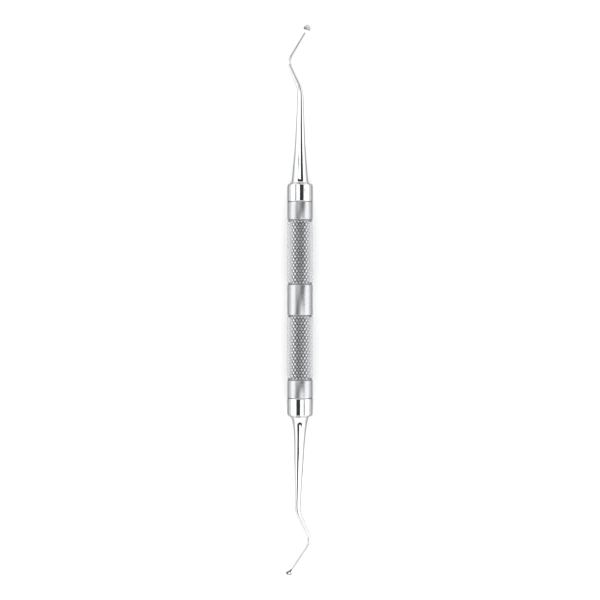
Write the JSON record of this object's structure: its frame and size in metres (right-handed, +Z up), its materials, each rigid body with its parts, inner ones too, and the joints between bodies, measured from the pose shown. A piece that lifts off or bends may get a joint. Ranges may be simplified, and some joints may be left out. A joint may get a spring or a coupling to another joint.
{
  "type": "dental elevator",
  "caption": "Double-ended dental elevator: small round dished blades on double-bent tapering shanks, fixed in collars at both ends of a hollow knurled handle.",
  "frame": {"origin": "middle of the handle's axis", "axes": "+X along the handle to the upper working end, +Z up from the surface that the instrument lies on, and both shanks bent in the XY plane"},
  "size_m": [0.1757, 0.0086, 0.008],
  "materials": {
    "handle_steel": "satin, with knurled grip bands",
    "collar_steel": "mirror polished",
    "mirror_steel": "mirror polished, with satin blade faces",
    "silver_solder": "polished"
  },
  "bodies": {
    "root": {"handle_tube": "handle_steel", "upper_collar": "collar_steel", "lower_collar": "collar_steel", "upper_solder_ring": "silver_solder", "lower_solder_ring": "silver_solder", "upper_working_end": "mirror_steel", "lower_working_end": "mirror_steel"}
  },
  "joints": []
}
